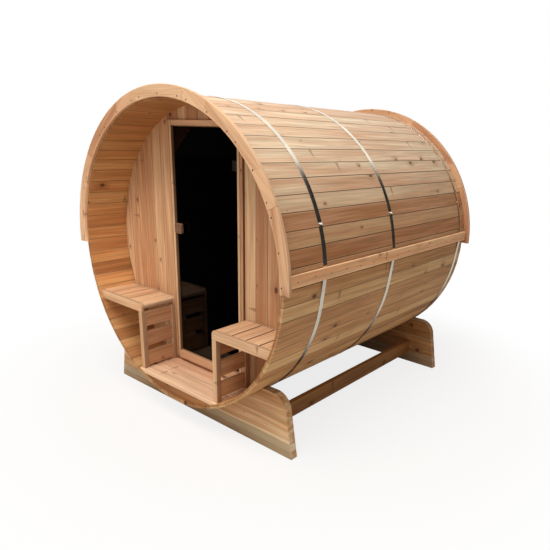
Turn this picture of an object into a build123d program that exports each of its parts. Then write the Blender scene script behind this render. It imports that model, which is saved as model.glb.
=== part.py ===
"""Barrel sauna: a stave barrel on two cradles, with an open porch and a glass door."""
import os
from math import acos, asin, cos, degrees, radians, sin, sqrt, tan

from build123d import *

# All sizes are in millimetres. X is across, Y runs from the porch at -Y to the rear, Z is up.

# Barrel of bevelled staves
barrel_radius = 1041.0          # to the outer corners of the staves
ground_clearance = 152.0        # lowest stave above the ground
stave_count = 68
stave_thickness = 28.0
stave_length = 2332.0
stave_joint = 0.4               # open joint between neighbouring staves
groove_depth = 9.0              # croze that holds the rim of an end wall
groove_clearance = 0.8          # play of a wall in its groove, on each side

# Roof jacket, arches and edge trims over the top half
roof_thickness = 11.0
roof_board_count = 32
roof_edge_rise = 22.0           # lower edge of the jacket above the barrel axis
arch_reveal = 12.0              # stave ends in sight inside an arch
arch_width = 73.0
arch_thickness = 24.0
arch_drop = 14.0                # how far an arch reaches below the barrel axis
arch_segments = 7
arch_joint = 0.6
edge_trim_height = 75.0
edge_trim_thickness = 17.0
edge_trim_rise = 17.0           # underside of the trim above the barrel axis
edge_trim_end_gap = 20.0        # from the trim's end to an arch

# Steel bands
band_width = 35.0
band_thickness = 1.2
band_play = 0.2                 # between a band and what it clasps
front_band_setback = 351.0      # front stave ends to the middle of the front band
middle_band_offset = -25.0      # middle band from the middle of the barrel
rear_band_setback = 89.0        # rear stave ends to the middle of the rear band

# End walls of vertical boards
wall_thickness = 42.0
wall_board_width = 108.0
wall_board_joint = 0.4
porch_depth = 326.0             # front stave ends to the face of the front wall
rear_inset = 88.0               # rear stave ends to the outer face of the rear wall

# Door frame
opening_half_width = 334.0
sill_rise = 27.0                # underside of the sill above the porch floor
frame_corner_room = 29.0        # under the staves, over the frame's upper corners
jamb_width = 53.0
head_height = 38.0
sill_height = 61.0
frame_proud = 15.0              # frame stands in front of the wall
sill_proud = 25.0
stop_width = 12.0
frame_joint = 0.4

# Glass door
glass_thickness = 8.0
glass_setback = 16.0            # glass face behind the frame's face
door_clearance = 6.0
hinge_height = 66.0
hinge_from_glass_end = 233.0    # middle of a hinge from the top or bottom of the glass
clamp_width = 50.0
clamp_thickness = 5.0
knuckle_radius = 6.0
pin_radius = 3.0
pin_clearance = 0.3
knuckle_clearance = 1.5         # moving knuckle to the bracket plate
lug_height = 12.0
lug_clearance = 1.0             # along the pin
bracket_thickness = 3.0
handle_width = 78.0
handle_height = 74.0
handle_thickness = 24.0
handle_standoff = 14.0
handle_rise = 1066.0            # middle of the handle above the porch floor
handle_edge_gap = 14.0          # handle to the free edge of the glass
handle_post_radius = 9.0
handle_post_spacing = 44.0
handle_corner_radius = 16.0

# Floors of crosswise boards
floor_rise = 99.9               # top of the floor above the lowest inside face
floor_thickness = 28.0
floor_board_width = 106.0
floor_board_joint = 3.0
fit_clearance = 0.6             # round what is cut to the inside of the barrel
closing_board_thickness = 28.0

# Porch benches
bench_side_gap = 6.0            # door frame to the inner edge of a seat
seat_rise = 522.0               # top of a seat above the porch floor
seat_thickness = 27.0
seat_slat_width = 112.0
seat_nose_width = 172.0
seat_nose_thickness = 44.0
seat_gap = 10.0
nose_radius = 34.0
rail_face_height = 68.0
rail_face_thickness = 20.0
bench_setback = 18.0            # bench face behind the stave ends
bench_wall_gap = 2.0
stile_width = 42.0
stile_depth = 38.0
panel_slats = 3
panel_slat_height = 126.0       # the top slat is wider and reaches the seat's nose
panel_slat_gap = 14.0
panel_slat_thickness = 20.0
panel_slat_setback = 5.0
bench_joint = 0.4

# Cradles and rails
cradle_tuck = 66.0              # cradle's foot inside the barrel's width, on each side
cradle_lean = 75.0              # each side leans in by this much over its height
cradle_seat_angle = 43.1        # seat on each side of the lowest line, in degrees
cradle_corner_radius = 120.0
cradle_thickness = 58.0
cradle_battens = 2              # narrow boards at the foot
cradle_batten_height = 52.0
cradle_board_height = 165.0
cradle_joint = 0.4
front_cradle_setback = 172.0    # front stave ends to the front cradle
rear_cradle_setback = 110.0     # rear stave ends to the rear cradle
cradle_play = 0.2
rail_inset = 265.0              # outer face of a rail inside the cradle's foot
rail_width = 38.0
rail_height = 120.0
rail_underside = 92.0
rail_joint = 0.4

# Places that follow from the sizes
axis_height = barrel_radius + ground_clearance
front_y = -stave_length / 2
rear_y = stave_length / 2
stave_pitch = 360.0 / stave_count
stave_apothem = barrel_radius * cos(radians(stave_pitch / 2))
inner_apothem = stave_apothem - stave_thickness
wall_radius = inner_apothem + groove_depth - groove_clearance
front_wall_y = front_y + porch_depth
front_wall_back_y = front_wall_y + wall_thickness
rear_wall_back_y = rear_y - rear_inset
rear_wall_y = rear_wall_back_y - wall_thickness
arch_inner_radius = inner_apothem + arch_reveal
arch_outer_radius = arch_inner_radius + arch_width
roof_edge_angle = degrees(asin(roof_edge_rise / barrel_radius))
roof_pitch = (180.0 - 2 * roof_edge_angle) / roof_board_count
roof_radius = (barrel_radius + roof_thickness) / cos(radians(roof_pitch / 2))
floor_top = axis_height - inner_apothem + floor_rise
frame_y = front_wall_y - frame_proud
frame_half_width = opening_half_width + jamb_width
frame_top = axis_height + sqrt(inner_apothem ** 2 - frame_half_width ** 2) - frame_corner_room
frame_bottom = floor_top + sill_rise
opening_top = frame_top - head_height
opening_bottom = frame_bottom + sill_height
glass_y = frame_y + glass_setback
glass_back_y = glass_y + glass_thickness
stop_y = glass_back_y + door_clearance
glass_half_width = opening_half_width - door_clearance
glass_bottom = opening_bottom + door_clearance
glass_top = opening_top - door_clearance
hinge_x = opening_half_width - bracket_thickness - knuckle_clearance - knuckle_radius
hinge_y = glass_y - clamp_thickness - knuckle_clearance
hinge_heights = (glass_bottom + hinge_from_glass_end, glass_top - hinge_from_glass_end)
handle_middle = floor_top + handle_rise
bench_nose = frame_half_width + bench_side_gap
seat_top = floor_top + seat_rise
cradle_half_width = barrel_radius - cradle_tuck
cradle_height = axis_height - barrel_radius * cos(radians(cradle_seat_angle))
rail_half_spacing = cradle_half_width - rail_inset


def slab(x, y, z):
    """A board between the two values given for each axis."""
    size = [high - low for low, high in (x, y, z)]
    middle = [(high + low) / 2 for low, high in (x, y, z)]
    return Pos(*middle) * Box(*size)


def round_bar(radius, y):
    """A cylinder on the barrel axis between two places along it."""
    middle = (y[0] + y[1]) / 2
    return Pos(0, middle, axis_height) * Rot(90, 0, 0) * Cylinder(radius, y[1] - y[0])


def along_barrel(outline, y, height=0.0):
    """An outline drawn in X and Z, made solid between two places along Y."""
    plane = Plane(origin=(0, y[1], height), x_dir=(1, 0, 0), z_dir=(0, -1, 0))
    return extrude(plane * outline, amount=y[1] - y[0])


def at_angle(board, angle):
    """A board drawn on +X, carried round the barrel axis from +X towards +Z."""
    return Pos(0, 0, axis_height) * Rot(0, -angle, 0) * board


def bevelled_board(outer_apothem, thickness, pitch, joint, y):
    """A flat board with bevelled edges, one side of a many-sided ring."""
    inner = outer_apothem - thickness
    half_outer = outer_apothem * tan(radians(pitch / 2)) - joint / 2
    half_inner = inner * tan(radians(pitch / 2)) - joint / 2
    outline = Polyline(
        (outer_apothem, -half_outer),
        (outer_apothem, half_outer),
        (inner, half_inner),
        (inner, -half_inner),
        close=True,
    )
    return along_barrel(make_face(outline), y)


def ring_sector(inner, outer, start, end, y):
    """A flat curved board: part of a ring round the barrel axis."""
    def point(radius, angle):
        return (radius * cos(radians(angle)), radius * sin(radians(angle)))

    outline = [
        CenterArc((0, 0), outer, start, end - start),
        Line(point(outer, end), point(inner, end)),
        CenterArc((0, 0), inner, start, end - start),
        Line(point(inner, start), point(outer, start)),
    ]
    return along_barrel(make_face(outline), y, axis_height)


def make_stave():
    """One stave with its two wall grooves, lying on +X."""
    stave = bevelled_board(stave_apothem, stave_thickness, stave_pitch, stave_joint, (front_y, rear_y))
    depth = (inner_apothem - groove_depth, inner_apothem + groove_depth)
    half_width = (-barrel_radius, barrel_radius)
    for near, far in ((front_wall_y, front_wall_back_y), (rear_wall_y, rear_wall_back_y)):
        groove = (near - groove_clearance, far + groove_clearance)
        stave -= slab(depth, groove, half_width)
    return stave


def make_staves():
    """The barrel wall, a quarter of the staves to a node."""
    stave = make_stave()
    quarters = ("right_upper", "left_upper", "left_lower", "right_lower")
    nodes = {f"staves_{name}": [] for name in quarters}
    for index in range(stave_count):
        quarter = quarters[index * len(quarters) // stave_count]
        nodes[f"staves_{quarter}"].append(at_angle(stave, (index + 0.5) * stave_pitch))
    return nodes


def make_roof():
    """Jacket boards over the top half, from one lower edge to the other."""
    outer = barrel_radius + roof_thickness
    board = bevelled_board(outer, roof_thickness, roof_pitch, stave_joint, (front_y, rear_y))
    nodes = {"roof_boards_right": [], "roof_boards_left": []}
    for index in range(roof_board_count):
        side = "right" if index < roof_board_count / 2 else "left"
        angle = roof_edge_angle + (index + 0.5) * roof_pitch
        nodes[f"roof_boards_{side}"].append(at_angle(board, angle))
    return nodes


def make_arch(y):
    """Arch trim in equal segments, nailed to the stave ends."""
    start = -degrees(asin(arch_drop / arch_inner_radius))
    pitch = (180.0 - 2 * start) / arch_segments
    gap = degrees(arch_joint / arch_inner_radius)
    segments = []
    for index in range(arch_segments):
        low = start + index * pitch + gap / 2
        segments.append(ring_sector(arch_inner_radius, arch_outer_radius, low, low + pitch - gap, y))
    return segments


def make_edge_trim():
    """Level board along the right lower edge of the roof jacket."""
    inner = roof_radius + band_play + band_thickness + band_play
    height = axis_height + edge_trim_rise
    return slab(
        (inner, inner + edge_trim_thickness),
        (front_y + edge_trim_end_gap, rear_y - edge_trim_end_gap),
        (height, height + edge_trim_height),
    )


def band_loop(offset):
    """Face inside a strap drawn tight over the roof jacket and the barrel."""
    over = roof_radius + band_play + offset
    under = barrel_radius + band_play + offset
    leave = roof_edge_angle
    meet = leave - degrees(acos(under / over))

    def point(radius, angle):
        return (radius * cos(radians(angle)), radius * sin(radians(angle)))

    outline = [
        CenterArc((0, 0), over, leave, 180.0 - 2 * leave),
        Line(point(over, 180.0 - leave), point(under, 180.0 - meet)),
        CenterArc((0, 0), under, 180.0 - meet, 180.0 + 2 * meet),
        Line(point(under, meet), point(over, leave)),
    ]
    return make_face(outline)


def make_band(middle):
    """One steel band, its width centred on a place along the barrel."""
    strap = band_loop(band_thickness) - band_loop(0.0)
    return along_barrel(strap, (middle - band_width / 2, middle + band_width / 2), axis_height)


def wall_boards(x, y, z):
    """Vertical boards that fill a stretch of an end wall, cut to its round rim."""
    rim = round_bar(wall_radius, y)
    count = max(1, round((x[1] - x[0]) / wall_board_width))
    pitch = (x[1] - x[0]) / count
    boards = []
    for index in range(count):
        left = x[0] + index * pitch + wall_board_joint / 2
        boards.append(slab((left, left + pitch - wall_board_joint), y, z) & rim)
    return boards


def make_walls():
    """Front wall round the door frame, and the plain rear wall."""
    low = axis_height - wall_radius
    high = axis_height + wall_radius
    edge = frame_half_width + frame_joint
    front = (front_wall_y, front_wall_back_y)
    rear = (rear_wall_y, rear_wall_back_y)
    return {
        "front_wall_left": wall_boards((-wall_radius, -edge), front, (low, high)),
        "front_wall_right": wall_boards((edge, wall_radius), front, (low, high)),
        "front_wall_over_door": wall_boards((-edge, edge), front, (frame_top + frame_joint, high)),
        "front_wall_under_door": wall_boards((-edge, edge), front, (low, frame_bottom - frame_joint)),
        "rear_wall": wall_boards((-wall_radius, wall_radius), rear, (low, high)),
    }


def make_door_frame():
    """Jambs and head with a stop behind the glass, and a sill."""
    front = (frame_y, front_wall_back_y)
    stop = (stop_y, front_wall_back_y)
    jamb = slab((opening_half_width, frame_half_width), front, (frame_bottom, frame_top))
    stop_low = opening_bottom + frame_joint
    jamb += slab((opening_half_width - stop_width, opening_half_width), stop, (stop_low, opening_top))
    inside = opening_half_width - frame_joint
    head = slab((-inside, inside), front, (opening_top + frame_joint, frame_top))
    stop_end = inside - stop_width
    head += slab((-stop_end, stop_end), stop, (opening_top - stop_width, opening_top + frame_joint))
    sill = slab((-inside, inside), (front_wall_y - sill_proud, front_wall_back_y), (frame_bottom, opening_bottom))
    return {
        "door_jamb_right": [jamb],
        "door_jamb_left": [mirror(jamb, Plane.YZ)],
        "door_head": [head],
        "door_sill": [sill],
    }


def upright(radius, x, y, z):
    """A vertical cylinder between two heights."""
    return Pos(x, y, (z[0] + z[1]) / 2) * Cylinder(radius, z[1] - z[0])


def make_hinge_bracket(middle):
    """Plate on the jamb's inner face with two lugs and the pin between them."""
    half = hinge_height / 2
    inner = opening_half_width - bracket_thickness
    front = hinge_y - knuckle_radius
    bracket = slab((inner, opening_half_width), (front, glass_back_y), (middle - half, middle + half))
    for low in (middle - half, middle + half - lug_height):
        height = (low, low + lug_height)
        lug = upright(knuckle_radius, hinge_x, hinge_y, height)
        arm = slab((hinge_x, inner), (front, hinge_y + knuckle_radius), height)
        bracket += lug + arm
    return bracket + upright(pin_radius, hinge_x, hinge_y, (middle - half, middle + half))


def make_hinge_clamp(middle):
    """Two plates that grip the glass, the outer one rolled round the pin."""
    half = hinge_height / 2 - lug_height - lug_clearance
    height = (middle - half, middle + half)
    plate = (middle - hinge_height / 2, middle + hinge_height / 2)
    left = glass_half_width - clamp_width
    right = hinge_x - knuckle_radius - lug_clearance
    outer = slab((left, right), (glass_y - clamp_thickness, glass_y), plate)
    tongue_front = hinge_y - knuckle_radius
    outer += slab((right - knuckle_radius, hinge_x), (tongue_front, glass_y - knuckle_clearance), height)
    outer += upright(knuckle_radius, hinge_x, hinge_y, height)
    outer -= upright(pin_radius + pin_clearance, hinge_x, hinge_y, plate)
    inner_right = opening_half_width - stop_width - door_clearance
    inner = slab((left, inner_right), (glass_back_y, glass_back_y + clamp_thickness), plate)
    return [outer, inner]


def make_handle():
    """Wooden pulls on both faces, held off the glass by posts."""
    left = -glass_half_width + handle_edge_gap
    middle = left + handle_width / 2
    pull = RectangleRounded(handle_width, handle_height, handle_corner_radius)
    handles = []
    for face, outward in ((glass_y, -1), (glass_back_y, 1)):
        near = face + outward * handle_standoff
        far = near + outward * handle_thickness
        solid = along_barrel(Pos(middle, handle_middle) * pull, sorted((near, far)))
        for height in (-handle_post_spacing / 2, handle_post_spacing / 2):
            post = Pos(middle, handle_middle + height) * Circle(handle_post_radius)
            solid += along_barrel(post, sorted((face, near)))
        handles.append(solid)
    return handles


def make_door():
    """Glass leaf and its furniture; the brackets stay on the jamb."""
    glass = slab((-glass_half_width, glass_half_width), (glass_y, glass_back_y), (glass_bottom, glass_top))
    return {
        "door_glass": [glass],
        "door_hinge_clamps": [part for middle in hinge_heights for part in make_hinge_clamp(middle)],
        "door_handles": make_handle(),
        "hinge_brackets": [make_hinge_bracket(middle) for middle in hinge_heights],
    }


def floor_boards(y):
    """Crosswise floor boards between two places, cut to the inside of the barrel."""
    inside = round_bar(inner_apothem - fit_clearance, y)
    count = max(1, round((y[1] - y[0]) / floor_board_width))
    pitch = (y[1] - y[0]) / count
    boards = []
    for index in range(count):
        near = y[0] + index * pitch + floor_board_joint / 2
        span = (near, near + pitch - floor_board_joint)
        boards.append(slab((-barrel_radius, barrel_radius), span, (floor_top - floor_thickness, floor_top)) & inside)
    return boards


def make_floors():
    """Porch and cabin floors, and the curved board that closes the porch floor's front."""
    closing = (front_y + floor_board_joint / 2, front_y + floor_board_joint / 2 + closing_board_thickness)
    inside = round_bar(inner_apothem - fit_clearance, closing)
    under = (axis_height - barrel_radius, floor_top - floor_thickness)
    return {
        "porch_floor": floor_boards((front_y, front_wall_y)),
        "cabin_floor": floor_boards((front_wall_back_y, rear_wall_y)),
        "porch_floor_front": [slab((-barrel_radius, barrel_radius), closing, under) & inside],
    }


def nosed(x, z):
    """Outline of a board whose upper inner edge is rounded."""
    board = Pos((x[0] + x[1]) / 2, (z[0] + z[1]) / 2) * Rectangle(x[1] - x[0], z[1] - z[0])
    corner = board.vertices().sort_by(Axis.X)[:2].sort_by(Axis.Y)[-1]
    return fillet(corner, nose_radius)


def make_right_seat(inside, bench_y):
    """Front and back rails with slats between them, cut to the barrel."""
    rail_z = (seat_top - rail_face_height, seat_top)
    rail = nosed((bench_nose, barrel_radius), rail_z)
    front_rail = (bench_y[0], bench_y[0] + rail_face_thickness)
    back_rail = (bench_y[1] - rail_face_thickness, bench_y[1])
    between = (front_rail[1] + bench_joint, back_rail[0] - bench_joint)
    pieces = [along_barrel(rail, front_rail), along_barrel(rail, back_rail)]
    slat_z = (seat_top - seat_thickness, seat_top)
    nose = (bench_nose, bench_nose + seat_nose_width)
    nose_z = (seat_top - seat_nose_thickness, seat_top)
    pieces.append(along_barrel(nosed(nose, nose_z), between))
    left = nose[1] + seat_gap
    reach = sqrt(inner_apothem ** 2 - (axis_height - seat_top) ** 2)
    while left < reach - seat_gap:
        pieces.append(slab((left, left + seat_slat_width), between, slat_z))
        left += seat_slat_width + seat_gap
    return [piece & inside for piece in pieces]


def make_right_panel(inside, bench_y):
    """Two stiles and the level slats between them, facing the door."""
    top = seat_top - rail_face_height - bench_joint
    stile_x = (bench_nose, bench_nose + stile_width)
    front = (bench_y[0], bench_y[0] + stile_depth)
    back = (bench_y[1] - stile_depth, bench_y[1])
    pieces = [slab(stile_x, y, (floor_top, top)) for y in (front, back)]
    slat_x = (bench_nose + panel_slat_setback, bench_nose + panel_slat_setback + panel_slat_thickness)
    between = (front[1] + bench_joint, back[0] - bench_joint)
    low = floor_top + panel_slat_gap
    for index in range(panel_slats - 1):
        pieces.append(slab(slat_x, between, (low, low + panel_slat_height)))
        low += panel_slat_height + panel_slat_gap
    pieces.append(slab(slat_x, between, (low, seat_top - seat_nose_thickness - panel_slat_gap)))
    return [piece & inside for piece in pieces]


def make_benches():
    """The right bench, and the left one as its mirror image."""
    bench_y = (front_y + bench_setback, front_wall_y - bench_wall_gap)
    inside = round_bar(inner_apothem - fit_clearance, (front_y, front_wall_y))
    right = {
        "seat": make_right_seat(inside, bench_y),
        "panel": make_right_panel(inside, bench_y),
    }
    nodes = {}
    for name, pieces in right.items():
        nodes[f"bench_{name}_right"] = pieces
        nodes[f"bench_{name}_left"] = [mirror(piece, Plane.YZ) for piece in pieces]
    return nodes


def make_cradle(y):
    """A cradle laid up from level boards, hollowed to the barrel."""
    top_half_width = cradle_half_width - cradle_lean
    outline = make_face(Polyline(
        (-cradle_half_width, 0),
        (cradle_half_width, 0),
        (top_half_width, cradle_height),
        (-top_half_width, cradle_height),
        close=True,
    ))
    corners = outline.vertices().sort_by(Axis.Y)[-2:]
    outline = fillet(corners, cradle_corner_radius)
    outline -= Pos(0, axis_height) * Circle(barrel_radius + cradle_play)
    blank = along_barrel(outline, y)
    reach = (-cradle_half_width, cradle_half_width)
    foot_height = cradle_battens * cradle_batten_height
    boards = []
    low = 0.0
    while low < cradle_height:
        step = cradle_batten_height if low < foot_height else cradle_board_height
        high = min(low + step, cradle_height)
        boards += (blank & slab(reach, y, (low, high - cradle_joint))).solids()
        low = high
    return boards


def make_base():
    """Two cradles and the two rails that join them."""
    front = (front_y + front_cradle_setback, front_y + front_cradle_setback + cradle_thickness)
    rear = (rear_y - rear_cradle_setback - cradle_thickness, rear_y - rear_cradle_setback)
    rail = slab(
        (rail_half_spacing - rail_width, rail_half_spacing),
        (front[1] + rail_joint, rear[0] - rail_joint),
        (rail_underside, rail_underside + rail_height),
    )
    return {
        "cradle_front": make_cradle(front),
        "cradle_rear": make_cradle(rear),
        "rail_right": [rail],
        "rail_left": [mirror(rail, Plane.YZ)],
    }


def make_trims():
    """Arches at both ends and the level trims between them."""
    trim = make_edge_trim()
    return {
        "front_arch": make_arch((front_y - arch_thickness, front_y)),
        "rear_arch": make_arch((rear_y, rear_y + arch_thickness)),
        "roof_edge_right": [trim],
        "roof_edge_left": [mirror(trim, Plane.YZ)],
    }


def make_bands():
    """The steel bands from front to rear."""
    return {
        "band_front": [make_band(front_y + front_band_setback)],
        "band_middle": [make_band(middle_band_offset)],
        "band_rear": [make_band(rear_y - rear_band_setback)],
    }


def main():
    """Write one file for each node."""
    os.makedirs("parts", exist_ok=True)
    makers = (
        make_staves,
        make_roof,
        make_trims,
        make_bands,
        make_walls,
        make_door_frame,
        make_door,
        make_floors,
        make_benches,
        make_base,
    )
    for maker in makers:
        for name, pieces in maker().items():
            solids = [solid for piece in pieces for solid in piece.solids()]
            node = Compound(children=solids)
            node.label = name
            export_step(node, f"parts/{name}.step")


main()
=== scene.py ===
"""Barrel sauna: boards, straps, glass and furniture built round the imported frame."""
import math
import random
from functools import partial

import bmesh
import bpy
from mathutils import Matrix, Vector


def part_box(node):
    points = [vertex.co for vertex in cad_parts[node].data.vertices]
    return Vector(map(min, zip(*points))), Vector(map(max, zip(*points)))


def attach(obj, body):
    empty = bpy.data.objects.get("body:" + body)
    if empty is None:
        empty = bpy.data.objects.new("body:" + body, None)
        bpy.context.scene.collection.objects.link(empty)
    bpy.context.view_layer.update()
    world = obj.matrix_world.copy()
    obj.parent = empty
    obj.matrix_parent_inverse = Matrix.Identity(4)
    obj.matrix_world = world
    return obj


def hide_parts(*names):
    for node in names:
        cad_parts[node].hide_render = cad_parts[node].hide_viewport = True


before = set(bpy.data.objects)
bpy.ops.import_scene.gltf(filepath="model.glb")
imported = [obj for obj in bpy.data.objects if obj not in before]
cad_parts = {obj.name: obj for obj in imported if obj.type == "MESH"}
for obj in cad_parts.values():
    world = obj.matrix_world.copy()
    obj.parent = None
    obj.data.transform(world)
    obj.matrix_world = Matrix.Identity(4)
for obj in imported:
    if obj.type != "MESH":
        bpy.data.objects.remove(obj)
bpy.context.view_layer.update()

bl_info = {
    "name": "Barrel Sauna",
    "version": (1, 0, 0),
    "blender": (4, 5, 0),
    "location": "3D View > Sidebar > Sauna",
    "description": "Dresses a barrel sauna's frame in cedar boards, steel straps and tinted glass",
    "category": "Object",
}

MM = 0.001
CABIN = "sauna"
LEAF = "door"
AXES = "XYZ"
X, Y, Z = Vector((1, 0, 0)), Vector((0, 1, 0)), Vector((0, 0, 1))
WHITE = (1, 1, 1, 1)
# Edges that turn by more than this are rounded, in radians
SHARP = 0.45
# Faces that turn by more than this keep a crisp edge in the render
CRISP = math.radians(20)
# Points closer than this are one
WELD = 0.01 * MM


def span(node_name, axis):
    """Lowest and highest value of a CAD node along one axis, in metres."""
    low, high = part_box(node_name)
    return low[AXES.index(axis)], high[AXES.index(axis)]


# Places read from the frame
axis_height = (span("staves_right_upper", "Z")[0] + span("staves_right_lower", "Z")[1]) / 2
stave_ends = span("staves_right_lower", "Y")
barrel_radius = axis_height - span("staves_right_lower", "Z")[0]
roof_radius = span("roof_boards_right", "Z")[1] - axis_height
roof_edge = span("roof_boards_right", "Z")[0] - axis_height
roof_start = math.asin(roof_edge / barrel_radius)
arch_radius = span("front_arch", "Z")[1] - axis_height
arch_drop = axis_height - span("front_arch", "Z")[0]
front_wall = span("front_wall_right", "Y")
rear_wall = span("rear_wall", "Y")
wall_radius = span("rear_wall", "X")[1]


def linear(code):
    """The linear colour of an sRGB hex value."""
    channels = [int(code[index:index + 2], 16) / 255 for index in (1, 3, 5)]
    return tuple(c / 12.92 if c <= 0.04045 else ((c + 0.055) / 1.055) ** 2.4 for c in channels)


def number(name, description, default, **more):
    """A number that a user may change."""
    return bpy.props.FloatProperty(name=name, description=description, default=default, **more)


def length(name, description, millimetres):
    """A size of the object that a user may change."""
    return number(name, description, millimetres * MM, min=0.0, unit="LENGTH", precision=4)


def tally(name, description, default, **more):
    """A count that a user may change."""
    return bpy.props.IntProperty(name=name, description=description, default=default, **more)


def colour(name, description, code):
    """A colour of the object that a user may change."""
    return bpy.props.FloatVectorProperty(
        name=name, description=description, default=linear(code), subtype="COLOR", min=0.0, max=1.0)


class SaunaSizes(bpy.types.PropertyGroup):
    """Counts and sizes of the boards and straps."""
    stave_count: tally("Staves", "Staves round the barrel", 68, min=12)
    stave_thickness: length("Stave thickness", "Thickness of a stave", 28)
    stave_sink: length("Stave sink", "How much deeper than the rest a stave may lie", 0.7)
    groove_depth: length("Groove depth", "Croze that holds the rim of an end wall", 9)
    roof_board_count: tally("Roof boards", "Jacket boards from edge to edge", 32, min=4)
    roof_thickness: length("Roof thickness", "Thickness of a jacket board", 11)
    roof_sink: length("Roof sink", "How much deeper than the rest a jacket board may lie", 0.6)
    arch_segments: tally(
        "Arch segments", "Short lengths in one arch; a long board takes two", 7, min=7, max=7)
    arch_width: length("Arch width", "Width of the arch trim", 73)
    wall_board_width: length("Wall board", "Usual width of a wall board", 108)
    floor_board_width: length("Floor board", "Usual width of a floor board", 106)
    joint: length("Joint", "Open joint between boards", 0.4)
    floor_joint: length("Floor joint", "Open joint between floor boards", 3)
    door_clearance: length("Door clearance", "Room round the glass leaf", 6)
    frame_joint: length("Frame joint", "Open joint between the parts of the door frame", 0.4)
    stop_width: length("Stop width", "Width of the stop behind the glass", 12)
    arris: length("Arris", "Rounding along the edge of a barrel or wall board", 4.0)
    trim_arris: length("Trim arris", "Rounding along the edge of a trim or bench board", 3.0)
    slat_count: tally("Panel slats", "Slats in a bench panel", 3, min=1)
    slat_height: length("Panel slat height", "Height of a slat in a bench panel", 118)
    slat_gap: length("Panel slat gap", "Open gap between the slats of a bench panel", 40)
    slat_foot: length("Panel slat foot", "Gap between the lowest slat and the porch floor", 18)
    slat_thickness: length("Panel slat thickness", "Thickness of a slat in a bench panel", 20)
    slat_setback: length("Panel slat setback", "Slat behind the face of its stiles", 5)
    stile_depth: length("Stile depth", "Depth of a bench stile along the barrel", 38)
    strap_thickness: length("Strap thickness", "Thickness of a steel strap", 1.2)
    lug_angle: number(
        "Lug angle", "Where the ends of a strap meet, above the axis on the right",
        math.radians(18.5), subtype="ANGLE")
    screw_head: length("Screw head", "Diameter of a screw head", 10)
    nail_head: length("Nail head", "Diameter of a nail head", 8)
    nail_count: tally("Nails", "Nails along one edge trim", 15, min=2)
    nail_margin: length("Nail margin", "Between the end of an edge trim and its first nail", 60)
    fastener_rise: length("Fastener rise", "How far a screw or nail head stands out of its board", 0.6)


class SaunaColours(bpy.types.PropertyGroup):
    """Finishes that a user may change."""
    knot: colour("Knots", "Heart of a knot", "#5B3219")
    # Painted shade: a tint that darkens the jacket boards near the eaves, where less light falls on them
    eaves_shade: colour("Painted roof shade", "Tint of the jacket boards near the eaves", "#EACEB5")
    lining: colour("Lining", "Tint of the wood inside the barrel", "#E7D2BA")
    strap: colour("Straps", "Rolled stainless steel", "#F0E6D2")
    glass: colour("Glass", "Tint of the door glass", "#221813")
    hinge: colour("Hinges", "Dark steel of the hinges", "#4B4845")
    screw: colour("Screws", "Burnished screw heads", "#1C120B")
    paper: colour("Paper", "Floor that the sauna stands on", "#EADFD1")


# The palest, the usual and the heartwood of each part
SHADES = {"pale": "Palest wood", "warm": "Usual wood", "heart": "Heartwood"}
CEDARS = {
    "stave": ("staves", "#E2B781", "#CD9660", "#A97443"),
    "roof": ("jacket", "#E3CBA8", "#D9AF8B", "#BC8A5C"),
    "trim": ("trims", "#E2B68C", "#CF9A70", "#B67B55"),
    "edge": ("edge trims", "#FBCB9A", "#F2B17E", "#D38D5E"),
    "wall": ("walls", "#E0B68A", "#C68E61", "#B87A52"),
    "floor": ("floors", "#F0C59E", "#DBA67F", "#C18560"),
    "cradle": ("cradles", "#F6DCB4", "#D09C68", "#A06E3C"),
    # The rails' colours are darker than the other cedar: partly painted shade from the barrel above them
    "rail": ("rails", "#A06B33", "#835022", "#5E3614"),
    "handle": ("door pulls", "#9A7054", "#845D43", "#76513C"),
}
for finish, (part, *codes) in CEDARS.items():
    for (shade, words), code in zip(SHADES.items(), codes):
        SaunaColours.__annotations__[f"{finish}_{shade}"] = colour(
            f"{part.capitalize()}, {shade}", f"{words} in the {part}", code)


class SaunaStage(bpy.types.PropertyGroup):
    """Camera and light."""
    camera_place: bpy.props.FloatVectorProperty(
        name="Camera", description="Place of the camera", default=(2.916, -3.253, 2.010),
        subtype="TRANSLATION")
    camera_yaw: number("Yaw", "Camera turned from +Y towards -X", 0.666, subtype="ANGLE")
    camera_pitch: number("Pitch", "Camera tilted below the horizon", 0.315, subtype="ANGLE")
    camera_roll: number("Roll", "Camera turned on its own axis", 0.038, subtype="ANGLE")
    lens: number("Lens", "Focal length on a 36 mm sensor", 34.5, unit="CAMERA")
    shift: bpy.props.FloatVectorProperty(
        name="Shift", description="Offset of the picture in its frame", default=(-0.0765, 0.0641), size=2)
    key_power: number("Key", "Power of the key lamp", 400.0, subtype="POWER")
    fill_power: number("Fill", "Power of the fill lamp", 50.0, subtype="POWER")
    porch_power: number("Porch", "Power of the narrow lamp aimed into the porch", 1.2, subtype="POWER")
    sky: number("Sky", "Strength of the even light from overhead", 0.45, min=0.0)


# Settings that many nodes share
SMOOTH = {"interpolation_type": "SMOOTHSTEP"}
COLOURS = {"data_type": "RGBA"}
TINT = {"data_type": "RGBA", "blend_type": "MULTIPLY"}


def feed(made, inputs):
    """Feed a node's inputs with values, sockets, or nodes, which give the first output in use."""
    for key, value in inputs.items():
        if isinstance(value, bpy.types.Node):
            value = next(socket for socket in value.outputs if socket.enabled)
        if isinstance(value, bpy.types.NodeSocket):
            made.id_data.links.new(value, made.inputs[key])
        else:
            made.inputs[key].default_value = value


def node(tree, kind, *values, named=None, **settings):
    """Add a node with its settings, as "Kind" or "Kind.OPERATION".
    The values feed the inputs in use, in order; named feeds inputs by name."""
    kind, _, operation = kind.partition(".")
    made = tree.nodes.new(kind if "Node" in kind else f"ShaderNode{kind}")
    if operation:
        made.operation = operation
    for name, value in settings.items():
        setattr(made, name, value)
    in_use = [index for index, socket in enumerate(made.inputs) if socket.enabled]
    feed(made, {**dict(zip(in_use, values)), **(named or {})})
    return made


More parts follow.
